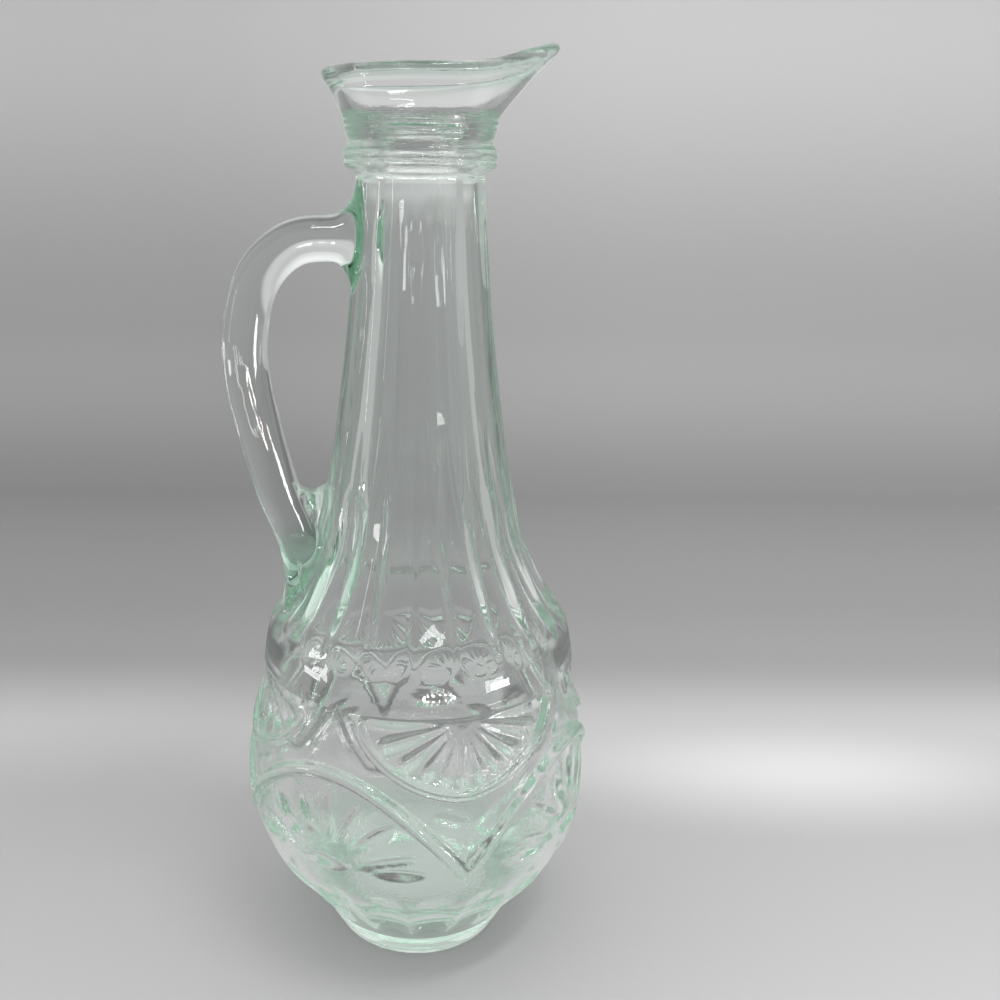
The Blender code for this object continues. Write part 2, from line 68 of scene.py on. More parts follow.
# The foot is a short disc of solid glass that flares up into the bulb. It stands on a ring round a shallow
# recess, and its heel is rounded by fire polishing. It is pressed in one with all the glass above it.
FOOT_STEPS = 120
SECTORS = 20
MERGE_DISTANCE = 0.000002
RECESS_RUN = ((0.0, 0.0016), (0.0080, 0.0015), (0.0150, 0.0013), (0.0186, 0.0008), (0.0196, 0.0001))
FOOT_RING_RUN = ((0.0200, 0.0), (0.0228, 0.0))
HEEL_RUN = ((0.0233, 0.0001), (0.0239, 0.0007), (0.0242, 0.0016), (0.0258, 0.0042), (0.0276, 0.0076))
RECESS_SPACING = 0.0040
FOOT_RING_SPACING = 0.0030
HEEL_SPACING = 0.0018


def ways_at(knots):
    """The way that a smooth curve through some knots runs at each of them."""
    ways = []
    for before, here, after in zip(knots[:1] + knots, knots, knots[1:] + knots[-1:]):
        ways.append((after - before) / ((after - here).length + (here - before).length))
    return ways


def smooth_run(points, spacing):
    """Places about one spacing apart on a smooth curve through (radius, height) points."""
    knots = [Vector(point) for point in points]
    ways = ways_at(knots)
    run = []
    for start, end, leave, arrive in zip(knots, knots[1:], ways, ways[1:]):
        reach = (end - start).length / 3
        steps = max(1, round(3 * reach / spacing))
        curve = interpolate_bezier(start, start + leave * reach, end - arrive * reach, end, steps + 1)
        run += curve[:-1]
    return run + [knots[-1]]


def ring_edges(number):
    """The edges of one level ring of the turned glass."""
    return [edge for edge in glass.edges if edge.verts[0][level] == edge.verts[1][level] == number]


def turn_wall(run, steps):
    """Turns a (radius, height) run into a wall joined to the last one, and gives the wall's vertices."""
    first = max((vert[level] for vert in glass.verts), default=-1) + 1
    verts = []
    for number, (radius, height) in enumerate(run, first):
        vert = glass.verts.new((radius, 0, height))
        vert[level] = number
        verts.append(vert)
    edges = [glass.edges.new(pair) for pair in zip(verts, verts[1:])]
    # One sector is turned first and then repeated all round, which is much quicker than one full turn
    bmesh.ops.spin(
        glass, geom=verts + edges, cent=(0, 0, 0), axis=(0, 0, 1), dvec=(0, 0, 0),
        angle=math.tau / SECTORS, steps=steps // SECTORS, use_merge=False, use_duplicate=False,
    )
    sector = [vert for vert in glass.verts if vert[level] >= first]
    sector += [edge for edge in glass.edges if edge.verts[0][level] >= first]
    sector += [face for face in glass.faces if face.verts[0][level] >= first]
    bmesh.ops.spin(
        glass, geom=sector, cent=(0, 0, 0), axis=(0, 0, 1), dvec=(0, 0, 0),
        angle=math.tau * (SECTORS - 1) / SECTORS, steps=SECTORS - 1, use_merge=False, use_duplicate=True,
    )
    wall = [vert for vert in glass.verts if vert[level] >= first]
    bmesh.ops.remove_doubles(glass, verts=wall, dist=MERGE_DISTANCE)
    if first:
        bmesh.ops.bridge_loops(glass, edges=ring_edges(first - 1) + ring_edges(first))
    return [vert for vert in glass.verts if vert[level] >= first]


glass = bmesh.new()
level = glass.verts.layers.int.new("level")
foot_run = smooth_run(RECESS_RUN, RECESS_SPACING) + smooth_run(FOOT_RING_RUN, FOOT_RING_SPACING)
foot_run += smooth_run(HEEL_RUN, HEEL_SPACING)
turn_wall(foot_run, FOOT_STEPS)

# The bulb is the heavy belly of the cruet. It is pressed with a cut-glass pattern: four swags hang from
# the belt, four arches stand between them, both hold cuts like petals, and scallops run round the foot.
BULB_STEPS = 360
BULB_SPACING = 0.00074
BULB_RUN = (
    (0.0282, 0.0086), (0.0310, 0.0120), (0.0342, 0.0160), (0.0370, 0.0200), (0.0408, 0.0260),
    (0.0444, 0.0330), (0.0471, 0.0420), (0.0476, 0.0500), (0.0472, 0.0580), (0.0460, 0.0660),
    (0.0445, 0.0740), (0.0432, 0.0820), (0.0422, 0.0890),
)
QUARTER = math.pi / 2
# Places in the pattern are measured round the bulb at this radius, and up from the table
SPAN_RADIUS = 0.0468
# The fields between the ridges are sunk a little into the bulb's own surface
FIELD_SUNK = 0.0006
FIELD_EDGE = 0.0008
ARCH_FIELD_FADE = 0.0110

# Each swag is a ring of two fine ridges, with a smooth wing on either side of it
SWAG_TOP = 0.0845
SWAG_HALF = SPAN_RADIUS * math.radians(36)
SWAG_DROP = 0.0194
SWAG_POWER = 1.65
SWAG_MIDDLE = 0.01
SWAG_RING_HALF = 0.0014
SWAG_RING_RISE = 0.0009
SWAG_GROOVE_HALF = 0.0006
SWAG_GROOVE_DEPTH = 0.0007
WING_HALF = SPAN_RADIUS * math.radians(42)
WING_LEAN = 0.41
WING_BEND = 25.0
WING_LOW = 0.0705
WING_FADE = 0.0025

# Eleven petals are cut in each swag, as a half daisy that hangs from the belt
PETALS = 11
PETAL_START = 0.0016
PETAL_SHORT = 0.0022
PETAL_HALF = 0.0024
PETAL_FILL = 0.96
PETAL_SLOPE = 0.80

# Each arch is a broad rounded ribbon, over a fan of leaves and a row of level slots
ARCH_TOP = 0.0684
ARCH_RISE = 0.0254
ARCH_HALF = SPAN_RADIUS * math.radians(45)
RIBBON_HALF = 0.0018
RIBBON_RISE = 0.0009
LEAVES = 7
LEAF_CENTRE = (0.0006, 0.0425)
LEAF_PITCH = math.radians(25)
LEAF_START = 0.0080
LEAF_REACH = (0.0265, 0.0215)
LEAF_HALF = 0.0018
LEAF_SLOPE = 0.75
SLOT_HEIGHT = 0.0440
SLOT_HALF_LENGTH = 0.0078
SLOT_HALF = 0.0019
SLOT_SLOPE = 0.95
SLOT_PITCH = SPAN_RADIUS * math.radians(24.5)
# Short lens cuts outside the swags and arches: middle across and up, half length, tilt in degrees
FIELD_CUTS = (
    (-0.0042, 0.0590, 0.0050, -22),
    (0.0062, 0.0600, 0.0048, 34),
    (0.0004, 0.0500, 0.0040, 90),
)
CROWN_CUTS = ((0.0046, 0.0745, 0.0048, 122), (-0.0046, 0.0745, 0.0048, 58))
FIELD_CUT_HALF = 0.0010
FIELD_CUT_SLOPE = 0.55

# The scallops end the pattern under the arches, one under each flute of the shoulder
FLUTES = 20
SCALLOP_LOW = (0.0280, 0.0090)
SCALLOP_HIGH = (0.0469, 0.0380)
SCALLOP_BOW = 0.0017
SCALLOP_FADE = 0.0160


def from_middle(angle, pitch):
    """How far an angle lies from the nearest multiple of the pitch."""
    return (angle + pitch / 2) % pitch - pitch / 2


def across_flute(angle):
    """How far an angle lies from the middle of its flute, 1 or -1 at the ridges beside it."""
    return from_middle(angle - math.pi / FLUTES, math.tau / FLUTES) * FLUTES / math.pi


def soft_step(value):
    """Goes smoothly from 0 to 1 as the value does."""
    value = min(1, max(0, value))
    return value * value * (3 - 2 * value)


def lens_depth(along, across, half_length, half_width, slope):
    """The depth of a lens cut, a V across and pointed at both ends."""
    half = half_width * (1 - (along / half_length) ** 2)
    return max(0, half - abs(across)) * slope


def tilted_lens(across, height, cut):
    """The depth of one of the short lens cuts in a field."""
    middle, rise, half_length, tilt = cut
    tilt = math.radians(tilt)
    x, y = across - middle, height - rise
    along = x * math.cos(tilt) + y * math.sin(tilt)
    sideways = y * math.cos(tilt) - x * math.sin(tilt)
    return lens_depth(along, sideways, half_length, FIELD_CUT_HALF, FIELD_CUT_SLOPE)


def swag_distance(across, height):
    """How far a place lies outside the middle line of the swag's ring, negative inside it."""
    u, v = abs(across) / SWAG_HALF, max(0, SWAG_TOP - height) / SWAG_DROP
    total = u**SWAG_POWER + v**SWAG_POWER
    # Close to the swag's middle the measure fails, and the ring is about a whole drop away
    if total < SWAG_MIDDLE:
        return -SWAG_DROP
    reach = total ** (1 / SWAG_POWER)
    way = math.hypot(u ** (SWAG_POWER - 1) / SWAG_HALF, v ** (SWAG_POWER - 1) / SWAG_DROP)
    return (reach - 1) * total / (reach * way)


def arch_distance(across, height):
    """How far a place lies above the middle line of the arch's ribbon, negative under it."""
    line = ARCH_TOP - ARCH_RISE * (across / ARCH_HALF) ** 2
    steepness = 2 * ARCH_RISE * across / ARCH_HALF**2
    return (height - line) / math.hypot(1, steepness)


def wing_distance(across, height):
    """How far a place lies outside the wings beside a swag, negative between them."""
    under = SWAG_TOP - height
    return abs(across) - WING_HALF + WING_LEAN * under + WING_BEND * under * under


def petal_depth(across, height):
    """The depth of the half daisy in a swag: V cuts side by side, each with a round end near the ring."""
    down = SWAG_TOP - height
    far = math.hypot(across, down)
    if far < PETAL_START:
        return 0
    turn = math.atan2(across, down)
    pitch = math.pi / (PETALS - 1)
    off = from_middle(turn, pitch)
    middle = turn - off
    u, v = abs(math.sin(middle)) / SWAG_HALF, max(0, math.cos(middle)) / SWAG_DROP
    end = (u**SWAG_POWER + v**SWAG_POWER) ** (-1 / SWAG_POWER) - PETAL_SHORT
    half = min(PETAL_HALF, far * math.tan(pitch / 2)) * PETAL_FILL
    past = (far - end + PETAL_HALF) / PETAL_HALF
    if past > 0:
        half *= math.sqrt(max(0, 1 - past * past))
    return max(0, half - far * abs(math.sin(off))) * PETAL_SLOPE


def leaf_depth(across, height):
    """The depth of the fan of leaves under an arch."""
    across, up = across - LEAF_CENTRE[0], height - LEAF_CENTRE[1]
    far = math.hypot(across, up)
    turn = math.atan2(across, up)
    off = from_middle(turn, LEAF_PITCH)
    middle = turn - off
    if abs(middle) > LEAF_PITCH * (LEAVES // 2 + 0.5):
        return 0
    end = 1 / math.hypot(math.sin(middle) / LEAF_REACH[0], math.cos(middle) / LEAF_REACH[1])
    half_length = (end - LEAF_START) / 2
    along = far - LEAF_START - half_length
    return lens_depth(along, far * math.sin(off), half_length, LEAF_HALF, LEAF_SLOPE)


def bulb_relief(angle, height):
    """How proud the pattern stands at a place of the bulb, negative where it is cut in."""
    if height > SWAG_TOP:
        return 0
    swag = SPAN_RADIUS * from_middle(angle, QUARTER)
    arch = SPAN_RADIUS * from_middle(angle - QUARTER / 2, QUARTER)
    to_swag = swag_distance(swag, height)
    to_arch = arch_distance(arch, height)
    if abs(to_swag) < SWAG_RING_HALF:
        share = abs(to_swag) / SWAG_RING_HALF
        groove = SWAG_GROOVE_DEPTH * max(0, 1 - abs(to_swag) / SWAG_GROOVE_HALF)
        return (SWAG_RING_RISE + FIELD_SUNK) * (1 - share**4) - FIELD_SUNK - groove
    if abs(to_arch) < RIBBON_HALF:
        share = to_arch / RIBBON_HALF
        return (RIBBON_RISE + FIELD_SUNK) * math.sqrt(1 - share * share) - FIELD_SUNK
    if to_swag < 0:
        return -FIELD_SUNK - petal_depth(swag, height)
    if to_arch < 0:
        cut = leaf_depth(arch, height)
        for count in (-1, 0, 1):
            along, up = arch - count * SLOT_PITCH, height - SLOT_HEIGHT
            cut = max(cut, lens_depth(along, up, SLOT_HALF_LENGTH, SLOT_HALF, SLOT_SLOPE))
        return -FIELD_SUNK * soft_step((height - ARCH_TOP + ARCH_RISE) / ARCH_FIELD_FADE) - cut
    cut = max(tilted_lens(swag, height, lens) for lens in FIELD_CUTS)
    cut = max(cut, max(tilted_lens(arch, height, lens) for lens in CROWN_CUTS))
    beside_wing = soft_step(wing_distance(swag, height) / FIELD_EDGE)
    under_wing = soft_step((WING_LOW - height) / WING_FADE + 1)
    return -FIELD_SUNK * max(beside_wing, under_wing) - cut


def scallop_radius(angle, height):
    """The surface of the scallops: straight up the middle of each, hollow across, and round at the foot."""
    (low_radius, low), (high_radius, high) = SCALLOP_LOW, SCALLOP_HIGH
    middle = low_radius + (high_radius - low_radius) * (height - low) / (high - low)
    off = across_flute(angle)
    return middle + SCALLOP_BOW * off * off * soft_step((height - low) / SCALLOP_FADE)


def press(verts, radius_at):
    """Moves each vertex straight in or out to the radius that the mould gives it."""
    for vert in verts:
        x, y, z = vert.co
        radius = math.hypot(x, y)
        pressed = radius_at(math.atan2(y, x), z, radius)
        vert.co.x, vert.co.y = x * pressed / radius, y * pressed / radius


def bulb_radius(angle, height, radius):
    """The radius of the bulb's wall with its pattern, cut back to the scallops near the foot."""
    carved = radius + bulb_relief(angle, height)
    if height < SCALLOP_HIGH[1]:
        carved = min(carved, scallop_radius(angle, height))
    return carved


# How far beside a fine line the wall gets smaller faces
FINE_REACH = 0.0012


def is_fine(edge):
    """Whether an edge of the plain bulb lies on a fine line of the pattern."""
    x, y, height = (edge.verts[0].co + edge.verts[1].co) / 2
    if not ARCH_TOP - ARCH_RISE < height < SWAG_TOP:
        return False
    angle = math.atan2(y, x)
    to_swag = abs(swag_distance(SPAN_RADIUS * from_middle(angle, QUARTER), height))
    to_arch = abs(arch_distance(SPAN_RADIUS * from_middle(angle - QUARTER / 2, QUARTER), height))
    return to_swag < SWAG_RING_HALF + FINE_REACH / 2 or abs(to_arch - RIBBON_HALF) < FINE_REACH


turn_wall(smooth_run(BULB_RUN, BULB_SPACING), BULB_STEPS)
fine_edges = [edge for edge in glass.edges if is_fine(edge)]
bmesh.ops.subdivide_edges(glass, edges=fine_edges, cuts=1, use_grid_fill=True)
bulb_low = BULB_RUN[0][1] - MERGE_DISTANCE
press([vert for vert in glass.verts if vert.co.z > bulb_low], bulb_radius)

# The shoulder sweeps in from a plain belt to the neck. Twenty hollow flutes are pressed in it, with round
# lower ends on the belt, and they run on up the neck as faint panels that end under the collar.
SHOULDER_STEPS = 240
SHOULDER_SPACING = 0.0011
NECK_STEPS = 120
NECK_SPACING = 0.0017
SHOULDER_RUN = (
    (0.04205, 0.0900), (0.0412, 0.0935), (0.0397, 0.0970), (0.0359, 0.1020), (0.0317, 0.1100),
    (0.0276, 0.1200), (0.0251, 0.1320), (0.0224, 0.1460), (0.0219, 0.1500),
)
NECK_RUN = (
    (0.0217, 0.1515), (0.0203, 0.1620), (0.0182, 0.1800), (0.01685, 0.1960), (0.0161, 0.2060),
    (0.0158, 0.2116),
)
# Depths of the flutes at heights up the shoulder and neck
FLUTE_DEPTHS = (
    (0.1000, 0.00170), (0.1150, 0.00125), (0.1300, 0.00080), (0.1450, 0.00040), (0.1520, 0.00020),
    (0.1960, 0.00014), (0.2025, 0.0),
)
# Under this height the flutes run out through the wall on a wide cone, which leaves their ends round
FLUTE_FOOT = 0.1000
FLUTE_FOOT_RADIUS = 0.0374
FLUTE_FOOT_SLOPE = 0.95


def level_value(table, height):
    """Straight-line reading of (height, value) pairs."""
    if height <= table[0][0]:
        return table[0][1]
    for (low, start), (high, end) in zip(table, table[1:]):
        if height <= high:
            return start + (end - start) * (height - low) / (high - low)
    return table[-1][1]


def fluted_radius(angle, height, radius):
    """The radius of the fluted wall: ridges stay, and each flute is a hollow arc between two of them."""
    depth = level_value(FLUTE_DEPTHS, height)
    off = across_flute(angle)
    ridge = radius
    if height < FLUTE_FOOT:
        ridge = FLUTE_FOOT_RADIUS + (FLUTE_FOOT - height) * FLUTE_FOOT_SLOPE
    return min(radius, ridge - depth * (1 - off * off))


shoulder_wall = turn_wall(smooth_run(SHOULDER_RUN, SHOULDER_SPACING), SHOULDER_STEPS)
press(shoulder_wall, fluted_radius)
neck_wall = turn_wall(smooth_run(NECK_RUN, NECK_SPACING), NECK_STEPS)
press(neck_wall, fluted_radius)

# The collar is the ring of thick glass that the mould closes round the mouth: a bead under a narrow waist,
# and above it a cone with fine level ridges.
COLLAR_SPACING = 0.0005
COLLAR_RUN = (
    (0.0163, 0.2124), (0.0178, 0.2130), (0.0187, 0.2139), (0.0189, 0.2147), (0.0186, 0.2152),
    (0.0190, 0.2160), (0.0189, 0.2174), (0.0183, 0.2182), (0.0179, 0.2191), (0.0179, 0.2202),
    (0.0184, 0.2212), (0.0182, 0.2218), (0.0188, 0.2225), (0.0185, 0.2231), (0.0190, 0.2238),
    (0.0188, 0.2244), (0.0191, 0.2251),
)
turn_wall(smooth_run(COLLAR_RUN, COLLAR_SPACING), NECK_STEPS)

# The pouring lip is flared out by hand while the glass is soft, and its front is drawn out and up into a
# spout opposite the handle. Its rim is rounded in the fire. Inside, a funnel leads down to the bore.
LIP_SPACING = 0.0009
LIP_RUN = (
    (0.0193, 0.2257), (0.0201, 0.2272), (0.0211, 0.2292), (0.0221, 0.2312), (0.0231, 0.2328),
    (0.0238, 0.2337), (0.0240, 0.2346), (0.0236, 0.2354), (0.0226, 0.2358), (0.0213, 0.2357),
    (0.0202, 0.2351), (0.0196, 0.2342), (0.0195, 0.2332), (0.0193, 0.2320), (0.0185, 0.2302),
    (0.0175, 0.2282), (0.0164, 0.2264), (0.0150, 0.2247), (0.0134, 0.2230), (0.0117, 0.2210),
    (0.0103, 0.2188), (0.0095, 0.2166),
)
# The spout grows from the lip's base to its rim, and fades from the front round to the sides
LIP_BASE = 0.2250
LIP_HEIGHT = 0.0090
SPOUT_PULL = 0.0104
SPOUT_RISE = 0.0068
SPOUT_PULL_FADE = 10
SPOUT_RISE_FADE = 6
SPOUT_BEND = 1.25

lip_wall = turn_wall(smooth_run(LIP_RUN, LIP_SPACING), NECK_STEPS)
for vert in lip_wall:
    x, y, z = vert.co
    radius = math.hypot(x, y)
    share = min(1, max(0, (z - LIP_BASE) / LIP_HEIGHT)) ** SPOUT_BEND
    facing = (1 + x / radius) / 2
    pulled = radius + SPOUT_PULL * share * facing**SPOUT_PULL_FADE
    raised = z + SPOUT_RISE * share * facing**SPOUT_RISE_FADE
    vert.co = (x * pulled / radius, y * pulled / radius, raised)

# The inside is blown: a narrow bore through the neck, which opens under the shoulder into the belly, over
# a heavy base. It is smooth but for soft waves in the shoulder, where the flutes were pressed from outside.
BORE_STEPS = 160
BORE_SPACING = 0.0038
WAVE_DEPTHS = ((0.0940, 0.0), (0.1000, 0.0008), (0.1100, 0.0009), (0.1250, 0.0005), (0.1380, 0.0))
BORE_RUN = (
    (0.0090, 0.2140), (0.0089, 0.2110), (0.0092, 0.2030), (0.0101, 0.1840), (0.0117, 0.1660),
    (0.0136, 0.1500), (0.0158, 0.1380), (0.0182, 0.1280), (0.0211, 0.1180), (0.0250, 0.1100),
    (0.0301, 0.1025), (0.0350, 0.0965), (0.0372, 0.0910), (0.0386, 0.0820), (0.0401, 0.0740),
    (0.0416, 0.0660), (0.0426, 0.0580), (0.0430, 0.0500), (0.0424, 0.0420), (0.0396, 0.0330),
    (0.0352, 0.0265), (0.0285, 0.0218), (0.0200, 0.0188), (0.0100, 0.0177), (0.0, 0.0175),
)


def waved_radius(angle, height, radius):
    """The radius of the inner wall where it waves with the flutes."""
    off = across_flute(angle)
    return radius - level_value(WAVE_DEPTHS, height) * (1 - off * off)


inner_wall = turn_wall(smooth_run(BORE_RUN, BORE_SPACING), BORE_STEPS)
wave_low, wave_high = WAVE_DEPTHS[0][0], WAVE_DEPTHS[-1][0]
press([vert for vert in inner_wall if wave_low < vert.co.z < wave_high], waved_radius)

bmesh.ops.remove_doubles(glass, verts=glass.verts, dist=MERGE_DISTANCE)
bmesh.ops.recalc_face_normals(glass, faces=glass.faces)


def put_in_scene(name, shape):
    """Makes an object of a finished bmesh."""
    mesh = bpy.data.meshes.new(name)
    shape.to_mesh(mesh)
    shape.free()
    piece = bpy.data.objects.new(name, mesh)
    bpy.context.collection.objects.link(piece)
    return piece


body = put_in_scene("cruet_glass", glass)

# The handle is a rod of solid glass, bent into a loop while it is soft. Its upper end swells where it is
# set against the neck, its lower end runs down the shoulder as a tail, and a web of glass closes the corner
# under the fingers.
ROD_SIDES = 40
ROD_SPACING = 0.0017
# Outward and upward place of the rod's middle, and its half height and half width
ROD_LINE = (
    (0.0125, 0.1967, 0.0149, 0.0050), (0.0150, 0.1966, 0.0135, 0.0049), (0.0166, 0.1965, 0.0116, 0.0049),
    (0.0180, 0.1966, 0.0092, 0.0051), (0.0194, 0.1967, 0.0072, 0.0054), (0.0212, 0.1967, 0.0060, 0.0056),
    (0.0245, 0.1967, 0.0056, 0.0056), (0.0274, 0.1967, 0.0056, 0.0056), (0.0310, 0.1960, 0.0056, 0.0056),
    (0.0343, 0.1944, 0.0056, 0.0056), (0.0381, 0.1912, 0.0056, 0.0056), (0.0412, 0.1867, 0.0056, 0.0056),
    (0.0434, 0.1801, 0.0056, 0.0056), (0.0447, 0.1701, 0.0056, 0.0056), (0.0443, 0.1624, 0.0056, 0.0056),
    (0.0424, 0.1526, 0.0056, 0.0056), (0.0400, 0.1423, 0.0056, 0.0056), (0.0373, 0.1323, 0.0056, 0.0056),
    (0.0353, 0.1272, 0.0056, 0.0056), (0.0338, 0.1230, 0.0056, 0.0056), (0.0325, 0.1192, 0.0057, 0.0055),
    (0.0319, 0.1172, 0.0059, 0.0052), (0.0314, 0.1158, 0.0061, 0.0045), (0.0311, 0.1143, 0.0062, 0.0041),
    (0.0308, 0.1080, 0.0060, 0.0042), (0.0322, 0.1020, 0.0056, 0.0040), (0.0342, 0.0975, 0.0047, 0.0032),
    (0.0362, 0.0938, 0.0030, 0.0024),
)
# The web is a thick sheet from the wall to the rod, with a round hole for the bottom of the finger opening
WEB_HALF = 0.0042
WEB_OUTLINE = ((0.0180, 0.1362), (0.0180, 0.1040), (0.0330, 0.1040), (0.0345, 0.1230), (0.0356, 0.1362))
WEB_HOLE = (0.0279, 0.1378, 0.0056)
WEB_HOLE_SIDES = 48
# How far outside the bore the handle's glass ends, inside the wall
CORE_MARGIN = 0.0012


def sweep(name, line, spacing, sides):
    """A closed rod of ellipse rings along a line in the plane of the handle."""
    knots = [Vector(knot) for knot in line]
    ways = ways_at(knots)
    stations = []
    for start, end, leave, arrive in zip(knots, knots[1:], ways, ways[1:]):
        steps = max(1, round((end - start).length / spacing))
        for step in range(steps):
            t = step / steps
            bend = t * (1 - t) * (end - start).length
            stations.append(start.lerp(end, soft_step(t)) + (leave * (1 - t) - arrive * t) * bend)
    stations.append(knots[-1])
    rod = bmesh.new()
    rings = []
    for before, here, after in zip(stations[:1] + stations, stations, stations[1:] + stations[-1:]):
        out, up, half_height, half_width = here
        ahead = Vector((-(after[0] - before[0]), 0, after[1] - before[1])).normalized()
        side = Vector((0, 1, 0))
        across = ahead.cross(side)
        axes = Matrix((across * half_height, side * half_width, ahead)).transposed().to_4x4()
        place = Matrix.Translation((-out, 0, up)) @ axes
        made = bmesh.ops.create_circle(rod, segments=sides, radius=1, matrix=place, cap_ends=False)
        rings.append(list(dict.fromkeys(edge for vert in made["verts"] for edge in vert.link_edges)))
    for low, high in zip(rings, rings[1:]):
        bmesh.ops.bridge_loops(rod, edges=low + high)
    bmesh.ops.holes_fill(rod, edges=[edge for edge in rod.edges if edge.is_boundary], sides=0)
    bmesh.ops.recalc_face_normals(rod, faces=rod.faces)
    return put_in_scene(name, rod)


def combine(piece, tool, operation):
    """Cuts a piece with a tool or fuses the two, and removes the tool."""
    step = piece.modifiers.new(operation.lower(), "BOOLEAN")
    step.operation = operation
    step.solver = "MANIFOLD"
    step.object = tool
    bpy.context.view_layer.update()
    depsgraph = bpy.context.evaluated_depsgraph_get()
    piece.data = bpy.data.meshes.new_from_object(piece.evaluated_get(depsgraph))
    piece.modifiers.clear()
    bpy.data.objects.remove(tool)


rod = sweep("handle_rod", ROD_LINE, ROD_SPACING, ROD_SIDES)

web_shape = bmesh.new()
corners = [web_shape.verts.new((-out, -WEB_HALF, up)) for out, up in WEB_OUTLINE]
sheet = web_shape.faces.new(corners)
thick = bmesh.ops.extrude_face_region(web_shape, geom=[sheet])
far_side = [item for item in thick["geom"] if isinstance(item, bmesh.types.BMVert)]
bmesh.ops.translate(web_shape, vec=(0, 2 * WEB_HALF, 0), verts=far_side)
bmesh.ops.recalc_face_normals(web_shape, faces=web_shape.faces)
web = put_in_scene("handle_web", web_shape)
hole_shape = bmesh.new()
hole_out, hole_up, hole_radius = WEB_HOLE
bmesh.ops.create_cone(
    hole_shape, cap_ends=True, segments=WEB_HOLE_SIDES,
    radius1=hole_radius, radius2=hole_radius, depth=6 * WEB_HALF,
    matrix=Matrix.Translation((-hole_out, 0, hole_up)) @ Matrix.Rotation(math.pi / 2, 4, "X"),
)
combine(web, put_in_scene("web_hole", hole_shape), "DIFFERENCE")
combine(rod, web, "UNION")

# The rod and the web reach into the wall but not into the hollow, so the blown inside is cut out of them
core_shape = bmesh.new()
core_run = [(0.0, BORE_RUN[0][1])] + [(radius + CORE_MARGIN, height) for radius, height in BORE_RUN[:-1]]
core_run.append((0.0, BORE_RUN[-1][1]))
core_verts = [core_shape.verts.new((radius, 0, height)) for radius, height in core_run]
core_edges = [core_shape.edges.new(pair) for pair in zip(core_verts, core_verts[1:])]
bmesh.ops.spin(
    core_shape, geom=core_verts + core_edges, cent=(0, 0, 0), axis=(0, 0, 1), dvec=(0, 0, 0),
    angle=math.tau, steps=BORE_STEPS, use_merge=True, use_duplicate=False,
)
bmesh.ops.remove_doubles(core_shape, verts=core_shape.verts, dist=MERGE_DISTANCE)
bmesh.ops.recalc_face_normals(core_shape, faces=core_shape.faces)
combine(rod, put_in_scene("core", core_shape), "DIFFERENCE")

# The handle is fused to the wall while both are soft, which leaves rounded corners along the seam
SEAM_MERGE = 0.00012
# How far from the seam, and how many times, the glass is smoothed
SEAM_RINGS = ((0.0028, 5), (0.0017, 7), (0.0009, 8))
SEAM_SOFTNESS = 0.5

# Two stand-in materials tell the wall's faces from the rod's, and the seam lies where they meet
wall_marker = bpy.data.materials.new("wall_marker")
rod_marker = bpy.data.materials.new("rod_marker")
for piece in (body, rod):
    piece.data.materials.clear()
    piece.data.materials.append(wall_marker)
    piece.data.materials.append(rod_marker)
for polygon in rod.data.polygons:
    polygon.material_index = 1
combine(body, rod, "UNION")

fused = bmesh.new()
fused.from_mesh(body.data)
seam = [
    vert for vert in fused.verts
    if len({face.material_index for face in vert.link_faces}) > 1
]
bmesh.ops.remove_doubles(fused, verts=seam, dist=SEAM_MERGE)
seam = [vert for vert in seam if vert.is_valid]
tree = KDTree(len(seam))
for number, vert in enumerate(seam):
    tree.insert(vert.co, number)
tree.balance()
near = [(tree.find(vert.co)[2], vert) for vert in fused.verts]
for reach, rounds in SEAM_RINGS:
    soft = [vert for distance, vert in near if distance < reach]
    for _ in range(rounds):
        bmesh.ops.smooth_vert(
            fused, verts=soft, factor=SEAM_SOFTNESS, use_axis_x=True, use_axis_y=True, use_axis_z=True,
        )
for face in fused.faces:
    face.material_index = 0
    face.smooth = True
fused.to_mesh(body.data)
fused.free()

# The glass is clear with a green cast, which shows where light runs through it a long way. The pressed
# surface is a little wavy, and it is finely grained on the collar and in the pattern.
GLASS_IOR = 1.5
GLASS_COLOUR = (0.55, 0.85, 0.68, 1.0)
GLASS_DENSITY = 10.0
# How finely the waves, the level rings and the grain follow one another, and how high they stand
WAVE_SCALE = 110.0
WAVE_RISE = 0.00006
LEVEL_RING_STRETCH = (60.0, 60.0, 1100.0)
LEVEL_RING_RISE = 0.00022
SAND_SCALE = 1100.0
SAND_RISE = 0.00009
FINE_DETAIL = 2.0
# Strength at heights of the level rings on the collar, and of the grain there and in the pattern
LEVEL_RING_BANDS = (
    (0.2120, 0.0), (0.2128, 1.0), (0.2245, 1.0), (0.2270, 0.0), (0.2325, 0.0), (0.2345, 0.5),
)
SAND_BANDS = (
    (0.026, 0.0), (0.034, 0.6), (0.046, 0.6), (0.056, 0.2), (0.084, 0.2), (0.088, 0.0), (0.2110, 0.0),
    (0.2130, 0.8), (0.2250, 0.8), (0.2275, 0.0),
)
# Where the glass is thickest it looks greener still: the tail of the handle, the lip's rim and the scallops
DEEP_COLOUR = (0.68, 0.89, 0.78, 1.0)
DEEP_BANDS = ((0.0080, 0.0), (0.0110, 0.5), (0.0180, 0.5), (0.0240, 0.0), (0.2315, 0.0), (0.2340, 0.4))
TAIL_PLACE = (-0.0310, 0.0, 0.1100)
TAIL_REACH = (0.0100, 0.0130, 0.0200)
TAIL_CORE = 0.6
MASK_TOP = 0.25
WHITE = (1.0, 1.0, 1.0, 1.0)

